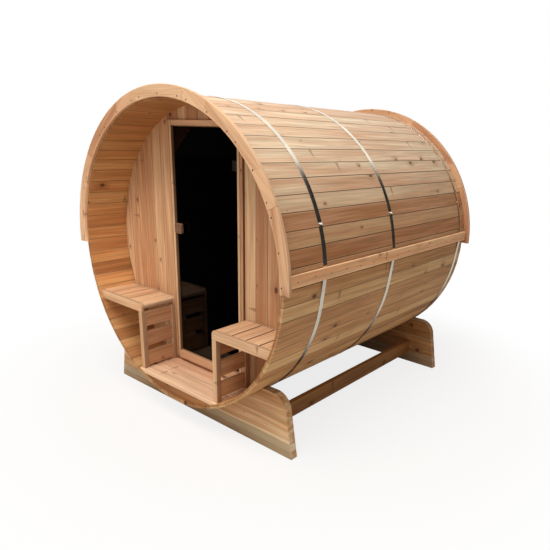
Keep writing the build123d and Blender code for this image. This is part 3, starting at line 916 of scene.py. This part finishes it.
class SAUNA_OT_walls(bpy.types.Operator):
    """End walls of upright boards, cut to the grooves in the staves"""
    bl_idname = "sauna.walls"
    bl_label = "Walls"

    def execute(self, context):
        sizes = context.scene.sauna_sizes
        seeds = {
            "front_wall_left": 132, "front_wall_right": 59, "front_wall_over_door": 159,
            "front_wall_under_door": 162, "rear_wall": 165}
        for name, seed in seeds.items():
            x, y, z = (span(name, axis) for axis in AXES)
            count = max(1, round((x[1] - x[0]) / sizes.wall_board_width))
            pitch = (x[1] - x[0] + sizes.joint) / count
            half = (pitch - sizes.joint) / 2
            depth = (y[1] - y[0]) / 2
            side = rectangle([height - axis_height for height in z], (-depth, depth))
            blank = plank(side, half, (X, Z, Y), sizes.arris)
            start = (x[0] + half, (y[0] + y[1]) / 2, axis_height)
            mesh = row(
                blank, count, start, (pitch, 0, 0), wood("walls"), seed, rim=wall_radius, along=Z, across=X)
            piece(f"{name}_boards", mesh, [name])
        return {"FINISHED"}


class SAUNA_OT_door_frame(bpy.types.Operator):
    """Jambs, head and sill of the door"""
    bl_idname = "sauna.door_frame"
    bl_label = "Door frame"

    def execute(self, context):
        sizes = context.scene.sauna_sizes
        for seed, name in enumerate(("door_head", "door_sill"), start=61):
            soft_piece(f"{name}_board", name, "cedar_frame", wood("trim"), sizes.trim_arris, seed, along="X")
        # A jamb shows two strips side by side, and has a stop behind the glass
        stop = sizes.stop_width
        stop_depth = span("door_glass", "Y")[1] + sizes.door_clearance, span("door_jamb_right", "Y")[1]
        stop_height = span("door_sill", "Z")[1] + sizes.frame_joint, span("door_head", "Z")[0] + stop
        for name, outward, seed in (("door_jamb_right", 1, 46), ("door_jamb_left", -1, 215)):
            depth, height = span(name, "Y"), span(name, "Z")
            inside, outside = sorted(abs(x) for x in span(name, "X"))
            width = (outside - inside - stop) / 2
            parts = []
            for count, first, half, outline in (
                    (2, inside + stop + width / 2, (width - sizes.joint) / 2, rectangle(height, depth)),
                    (1, inside + stop / 2, stop / 2, rectangle(stop_height, stop_depth))):
                blank = plank(outline, half, (X, Z, Y), min(sizes.arris, half / 3))
                start, step = (outward * first, 0, 0), (outward * width, 0, 0)
                parts.append(row(blank, count, start, step, wood("walls"), seed))
            piece(f"{name}_strips", joined(parts), [name])
        return {"FINISHED"}


class SAUNA_OT_door(bpy.types.Operator):
    """Glass leaf with its hinges and pulls"""
    bl_idname = "sauna.door"
    bl_label = "Door"

    def execute(self, context):
        glass = tinted_glass("Tinted tempered glass", context.scene.sauna_colours.glass)
        hinge, pull = steel("hinge"), wood("handle")
        glass_arris, hinge_arris, pull_arris = 1.0 * MM, 0.8 * MM, 4.0 * MM
        soft_piece("glass_leaf", "door_glass", "tinted_glass", glass, glass_arris, 71, LEAF)
        soft_piece("hinge_leaves", "door_hinge_clamps", "hinge_steel", hinge, hinge_arris, 72, LEAF)
        soft_piece("hinge_plates", "hinge_brackets", "hinge_steel", hinge, hinge_arris, 73)
        soft_piece(
            "door_pulls", "door_handles", "handle_wood", pull, pull_arris, 74, LEAF, along="X", segments=3)
        return {"FINISHED"}


class SAUNA_OT_floors(bpy.types.Operator):
    """Porch and cabin floors of crosswise boards"""
    bl_idname = "sauna.floors"
    bl_label = "Floors"

    def execute(self, context):
        sizes = context.scene.sauna_sizes
        for name, seed in (("porch_floor", 81), ("cabin_floor", 91)):
            x, y, z = (span(name, axis) for axis in AXES)
            count = max(1, round((y[1] - y[0]) / sizes.floor_board_width))
            pitch = (y[1] - y[0] + sizes.floor_joint) / count
            half = (pitch - sizes.floor_joint) / 2
            depth = (z[1] - z[0]) / 2
            blank = plank(rectangle(x, (-depth, depth)), half, (Y, X, Z), sizes.trim_arris)
            start = (0, y[0] + half, (z[0] + z[1]) / 2)
            rim = math.hypot(x[1], axis_height - z[1])
            mesh = row(blank, count, start, (0, pitch, 0), wood("floor"), seed, rim=rim, along=X, across=Z)
            piece(f"{name}_boards", mesh, [name])
        soft_piece(
            "porch_floor_skirt", "porch_floor_front", "cedar_floor", wood("staves"), sizes.trim_arris, 95,
            along="X")
        return {"FINISHED"}


class SAUNA_OT_benches(bpy.types.Operator):
    """Slatted porch benches"""
    bl_idname = "sauna.benches"
    bl_label = "Benches"

    def execute(self, context):
        sizes = context.scene.sauna_sizes
        for side, outward, seed, darkest in (("right", 1, 101, 0.3), ("left", -1, 102, 0.5)):
            nodes = [f"bench_seat_{side}", f"bench_panel_{side}"]
            seat = softened(nodes[:1], sizes.trim_arris, seed, darkest=darkest)
            stiles = softened(nodes[1:], sizes.trim_arris, seed + 10, darkest=darkest, posts=True)
            for mesh in (seat, stiles):
                mesh.materials.append(wood("bench"))
            # Level slats between the stiles, with open gaps that show the dark behind them
            x, y, z = (span(nodes[1], axis) for axis in AXES)
            stile = sizes.stile_depth + sizes.joint
            depth, half = sizes.slat_thickness / 2, sizes.slat_height / 2
            outline = rectangle((y[0] + stile, y[1] - stile), (-depth, depth))
            blank = plank(outline, half, (Z, Y, X), sizes.trim_arris)
            middle = min(abs(place) for place in x) + sizes.slat_setback + depth
            slats = row(
                blank, sizes.slat_count, (outward * middle, 0, z[0] + sizes.slat_foot + half),
                (0, 0, sizes.slat_height + sizes.slat_gap), wood("bench"), seed)
            piece(f"bench_{side}", joined([seat, stiles, slats]), nodes)
        return {"FINISHED"}


# Tones of the cradles' boards from the foot up: at the front a warm foot board,
# a pale one on it and darker boards above; all dark at the rear, a painted shade under the barrel
CRADLE_TONES = {"front": (0.55, -0.15, 0.5, 0.62, 0.6), "rear": (0.9, 0.7, 1.0, 1.1, 1.1)}


class SAUNA_OT_base(bpy.types.Operator):
    """Cradles and the rails between them"""
    bl_idname = "sauna.base"
    bl_label = "Cradles and rails"

    def execute(self, context):
        arris = context.scene.sauna_sizes.trim_arris
        for place, tones in CRADLE_TONES.items():
            name = f"cradle_{place}"
            soft_piece(
                f"{name}_boards", name, "cradle_timber", wood("cradle"), arris, 111, along="X", tones=tones)
        for seed, place in enumerate(("right", "left"), start=121):
            name = f"rail_{place}"
            soft_piece(f"{name}_beam", name, "rail_timber", wood("rail"), arris, seed, along="Y")
        return {"FINISHED"}


def lamp(name, power, size, place, target, spread=math.pi):
    """A soft square lamp that faces a target."""
    light = bpy.data.lights.new(name, "AREA")
    light.energy, light.size, light.spread = power, size, spread
    made = bpy.data.objects.new(name, light)
    made.location = place
    made.rotation_euler = (Vector(target) - Vector(place)).to_track_quat("-Z", "Y").to_euler()
    bpy.context.scene.collection.objects.link(made)


def studio(sky):
    """Sky: white where it is looked at, brighter overhead; what steel mirrors is white behind
    and to the left, and dark elsewhere."""
    world = bpy.data.worlds.new("Studio")
    world.use_nodes = True
    world.node_tree.nodes.clear()
    add = partial(node, world.node_tree)
    towards = add("SeparateXYZ", add("TexCoord").outputs["Generated"]).outputs
    left = add("MapRange", towards[0], 0.28, 0.12)
    behind = add("MapRange", towards[1], 0.0, 0.3)
    mirrored = add("Math.MULTIPLY_ADD", add("Math.MULTIPLY", left, behind), 1.1, 0.03)
    dome = add("MapRange", towards[2], -0.1, 0.9, sky * 0.35, sky)
    even, skyline, white = (add("Background", WHITE, strength) for strength in (dome, mirrored, 1.0))
    path = add("LightPath").outputs
    seen = add("Math.MAXIMUM", path["Is Camera Ray"], path["Is Transmission Ray"])
    unseen = add("MixShader", path["Is Glossy Ray"], even, skyline)
    add("OutputWorld", add("MixShader", seen, unseen, white))
    return world


def white_paper(name, shade):
    """Matt paper: pure white away from the sauna, with part of the shadow near it; in a mirror it glows with
    painted light and a painted shadow.
    """
    material, add, _ = new_material(name)
    material.node_tree.nodes.clear()
    where = add("TexCoord").outputs["Object"]
    share = add("MapRange", add("VectorMath.LENGTH", where), 1.5, 2.9, 0.82, 1.0, **SMOOTH)
    # In a mirror the floor glows, a painted reflection: pale beside the barrel on the right, with a painted shadow
    # under it, and dark far off
    aside = add("SeparateXYZ", where)
    beside = add("MapRange", aside, 0.8, 1.25, 0.02, 0.6)
    mirrored = add("Math.MULTIPLY", beside, add("MapRange", aside, 2.6, 4.0, 1.0, 0.06))
    path = add("LightPath").outputs
    strength = add("Mix", path["Is Glossy Ray"], 1.0, mirrored, data_type="FLOAT")
    seen = add("Math.MAXIMUM", path["Is Camera Ray"], path["Is Transmission Ray"])
    share = add("Math.MULTIPLY_ADD", seen, share, path["Is Glossy Ray"])
    matt, glow = add("BsdfDiffuse", (*shade, 1)), add("Emission", WHITE, strength)
    add("OutputMaterial", add("MixShader", share, matt, glow))
    return material


class SAUNA_OT_stage(bpy.types.Operator):
    """Pale floor, soft light and the camera"""
    bl_idname = "sauna.stage"
    bl_label = "Stage"

    def execute(self, context):
        scene, stage = context.scene, context.scene.sauna_stage
        scene.view_settings.view_transform = "Standard"
        scene.world = studio(stage.sky)
        mesh = bpy.data.meshes.new("floor")
        sides = (-40.0, 40.0)
        mesh.from_pydata([(x, y, 0) for x, y in rectangle(sides, sides)], [], [(0, 1, 2, 3)])
        mesh.materials.append(white_paper("White paper", scene.sauna_colours.paper))
        floor = bpy.data.objects.new("floor", mesh)
        scene.collection.objects.link(floor)
        barrel, porch = (0, 0, axis_height), (-1.0, -1.0, 1.0)
        lamp("key", stage.key_power, 4.0, (0.7, -3.0, 6.9), barrel)
        lamp("fill", stage.fill_power, 4.0, (-1.5, -6.0, 2.6), barrel)
        lamp("porch", stage.porch_power, 0.5, (3.2, -4.2, 2.6), porch, math.radians(17))
        yaw, pitch, roll = stage.camera_yaw, stage.camera_pitch, stage.camera_roll
        ahead = Vector((-math.sin(yaw) * math.cos(pitch), math.cos(yaw) * math.cos(pitch), -math.sin(pitch)))
        level = Vector((math.cos(yaw), math.sin(yaw), 0))
        upright = level.cross(ahead)
        right = math.cos(roll) * level + math.sin(roll) * upright
        top = -math.sin(roll) * level + math.cos(roll) * upright
        camera = bpy.data.objects.new("camera", bpy.data.cameras.new("camera"))
        camera.data.sensor_width = 36.0
        camera.data.lens = stage.lens
        camera.data.shift_x, camera.data.shift_y = stage.shift
        turn = Matrix((right, top, -ahead)).transposed().to_4x4()
        camera.matrix_world = Matrix.Translation(stage.camera_place) @ turn
        scene.collection.objects.link(camera)
        scene.camera = camera
        return {"FINISHED"}


makers = (
    SAUNA_OT_staves,
    SAUNA_OT_roof,
    SAUNA_OT_arches,
    SAUNA_OT_edge_trims,
    SAUNA_OT_straps,
    SAUNA_OT_walls,
    SAUNA_OT_door_frame,
    SAUNA_OT_door,
    SAUNA_OT_floors,
    SAUNA_OT_benches,
    SAUNA_OT_base,
    SAUNA_OT_stage,
)


class SAUNA_PT_panel(bpy.types.Panel):
    """Sizes, colours and pieces of the sauna"""
    bl_idname = "SAUNA_PT_panel"
    bl_label = "Barrel Sauna"
    bl_space_type = "VIEW_3D"
    bl_region_type = "UI"
    bl_category = "Sauna"

    def draw(self, context):
        for name in groups:
            group = getattr(context.scene, name)
            column = self.layout.column(align=True)
            for setting in group.__annotations__:
                column.prop(group, setting)
        for maker in makers:
            self.layout.operator(maker.bl_idname)


groups = {"sauna_sizes": SaunaSizes, "sauna_colours": SaunaColours, "sauna_stage": SaunaStage}


def register():
    """Make the groups, operators and panel known to Blender."""
    for name, group in groups.items():
        bpy.utils.register_class(group)
        setattr(bpy.types.Scene, name, bpy.props.PointerProperty(type=group))
    for kind in (*makers, SAUNA_PT_panel):
        bpy.utils.register_class(kind)


def unregister():
    """Take them out again."""
    for kind in reversed((*makers, SAUNA_PT_panel)):
        bpy.utils.unregister_class(kind)
    for name, group in reversed(groups.items()):
        delattr(bpy.types.Scene, name)
        bpy.utils.unregister_class(group)


def main():
    """Make every piece in order."""
    register()
    for maker in makers:
        family, name = maker.bl_idname.split(".")
        getattr(getattr(bpy.ops, family), name)()


if __name__ == "__main__":
    main()
